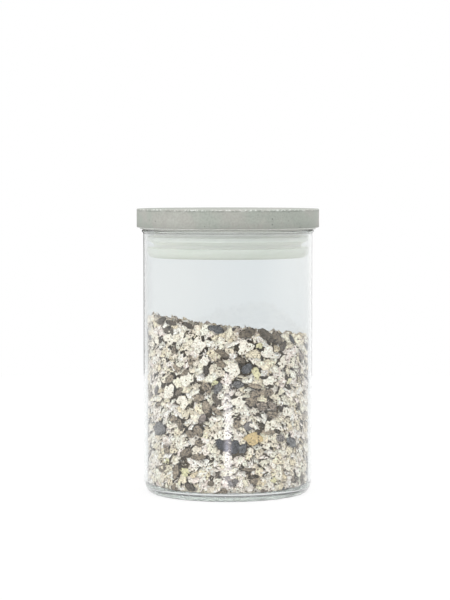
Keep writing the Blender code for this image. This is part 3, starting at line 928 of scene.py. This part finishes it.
def grainFinish(name, stops, dark, shadeAndCrackDepth, grits):
    # rolled and dried grain: matt and chalky, each flake in its own tone, with a broken painted shade line
    # at its rim, dark lines partly of small cracks and partly of painted shade in its wrinkles, and gritty
    # bran
    material, tree, place = newMaterial(name)
    tone = addNode(tree, "ShaderNodeAttribute", attribute_name="flakeTone").outputs["Fac"]
    base = addNode(tree, "ShaderNodeValToRGB", {"Fac": tone}, stops=stops)
    grit = addNode(tree, "ShaderNodeTexVoronoi", {"Vector": place, "Scale": 1 / (0.8 * mm)})
    bran = addNode(tree, "ShaderNodeSeparateColor", {0: grit.outputs["Color"]})
    light = addNode(tree, "ShaderNodeMapRange", {"Value": bran, "To Min": 1 - grits, "To Max": 1 + grits})
    gritty = addNode(tree, "ShaderNodeVectorMath", {0: base, "Scale": light}, operation="SCALE")
    # dark lines along the folds: partly small cracks, partly painted shade in the wrinkles
    folds = addNode(tree, "ShaderNodeTexNoise", {"Vector": place, "Scale": 1 / (1.9 * mm), "Detail": 4.0,
            "Roughness": 0.6})
    middle = addNode(tree, "ShaderNodeMath", {0: folds, 1: 0.5}, operation="SUBTRACT")
    ridge = addNode(tree, "ShaderNodeMath", {0: middle}, operation="ABSOLUTE")
    crackAndCreaseShade = addNode(tree, "ShaderNodeMapRange", {"Value": ridge, "From Min": 0.006, "From Max": 0.022,
            "To Min": shadeAndCrackDepth, "To Max": 0.0})
    # painted shade: a broken dark line along each flake's rim, where flakes overlap
    edge = addNode(tree, "ShaderNodeAttribute", attribute_name="flakeEdge").outputs["Fac"]
    rim = addNode(tree, "ShaderNodeMapRange", {"Value": edge, "From Min": 0.84, "To Max": shadeAndCrackDepth})
    lengths = addNode(tree, "ShaderNodeTexNoise", {"Vector": place, "Scale": 1 / (3.2 * mm),
            "Detail": 1.0})
    torn = addNode(tree, "ShaderNodeMapRange", {"Value": lengths, "From Min": 0.42, "From Max": 0.6,
            "To Min": 0.05})
    dashes = addNode(tree, "ShaderNodeMath", {0: rim, 1: torn}, operation="MULTIPLY")
    husk = addNode(tree, "ShaderNodeMapRange", {"Value": bran.outputs[1], "From Min": 0.93,
            "From Max": 0.94})
    lines = addNode(tree, "ShaderNodeMath", {0: crackAndCreaseShade, 1: dashes}, operation="MAXIMUM")
    shadeCracksAndHusk = addNode(tree, "ShaderNodeMath", {0: lines, 1: husk}, operation="MAXIMUM")
    look = addNode(tree, "ShaderNodeMix", {0: shadeCracksAndHusk, 6: gritty, 7: dark}, data_type="RGBA",
            clamp_result=True)
    bump = addNode(tree, "ShaderNodeBump", {"Height": bran, "Strength": 0.6, "Distance": 0.25 * mm})
    rough = addNode(tree, "ShaderNodeMapRange", {"Value": folds, "To Min": 0.7, "To Max": 0.95})
    body = addNode(tree, "ShaderNodeBsdfPrincipled", {"Base Color": look.outputs[2], "Roughness": rough,
            "Specular IOR Level": 0.25, "Normal": bump})
    return endMaterial(material, body)


def makeMuesli():
    tree = scatterTree()
    oats = flakeKinds("oat", range(1, 9), 10.4, 7.2, 0.8, rim=14, ragged=0.24)
    ryes = flakeKinds("rye", range(21, 27), 8.0, 5.4, 1.2, ragged=0.09)
    crumbs = flakeKinds("crumb", range(41, 46), 4.4, 1.5, 0.5, rim=6)
    oatFinish = grainFinish("rolledOats", [(0.0, "#E9D7B8"), (0.2, "#F9F3E3"), (0.35, "#FFEBE2"),
            (0.5, "#FFF7ED"), (0.65, "#FAE9CC"), (0.8, "#FFF3EA"), (1.0, "#F1E2CC")], "#4E3F2B", 0.75,
            0.24)
    ryeFinish = grainFinish("toastedRye", [(0.0, "#4F473E"), (0.3, "#807363"), (0.6, "#998A78"),
            (0.8, "#8E817A"), (0.92, "#707072"), (1.0, "#404147")], "#231E19", 0.8, 0.55)
    cornFinish = grainFinish("cornAndSeeds", [(0.0, "#CFCCA2"), (0.3, "#E3DBB2"), (0.6, "#FBF0E0"),
            (0.82, "#FFF3E6"), (0.9, "#D8BD8A")], "#6A5A3E", 0.6, 0.2)
    # the core stands for the deeper heap, coloured dark brown as painted shade in the gaps between the
    # flakes
    branAndShadeFinish = grainFinish("packedBran", [(0.0, "#54462F"), (1.0, "#7D6B4E")], "#2E2619", 0.7, 0.3)
    core = heapShape("muesli_core", heap["coreInset"])
    addPiece("muesli_core", core, branAndShadeFinish, "jar", "rolled_cereal", "cereal_fill")
    ryeMesh = layFlakes("rye_laid", ryes, laidRye)
    addPiece("rye_laid", ryeMesh, ryeFinish, "jar", "rolled_cereal", "cereal_fill")
    cornMesh = layFlakes("corn_laid", oats, laidCorn)
    addPiece("corn_laid", cornMesh, cornFinish, "jar", "rolled_cereal", "cereal_fill")
    laid = bpy.data.objects.new("laidSpots", layFlakes("laidSpots", ryes, laidRye + laidCorn))
    flakes = (("oat_flakes", oats, oatFinish, 7, 0.6), ("rye_flakes", ryes, ryeFinish, 7, 0.1),
            ("oat_crumbs", crumbs, oatFinish, 8, 0.6))
    for name, kinds, finish, seed, inset in flakes:
        mesh = pour(name, tree, kinds, finish, laid, seed, inset * mm)
        addPiece(name, mesh, finish, "jar", "rolled_cereal", "cereal_fill")


def main():
    makeCamera()
    makeSky()
    makeFloor()
    makeLamps()
    print("studio set")
    makeStreak(makeGlass())
    print("glass turned")
    makeStopper()
    makeDisc()
    bead = frame["nodes"]["adhesive_ring"]
    bead.data.materials.clear()
    bead.data.materials.append(curedSilicone())
    print("lid built")
    makeMuesli()
    print("muesli poured")
    scene = bpy.context.scene
    scene.cycles.glossy_bounces = studio["mirrorBounces"]
    scene.cycles.transmission_bounces = studio["mirrorBounces"]
    scene.cycles.transparent_max_bounces = studio["mirrorBounces"]
    scene.cycles.max_bounces = studio["allBounces"]
    scene.view_settings.view_transform = "Standard"


main()
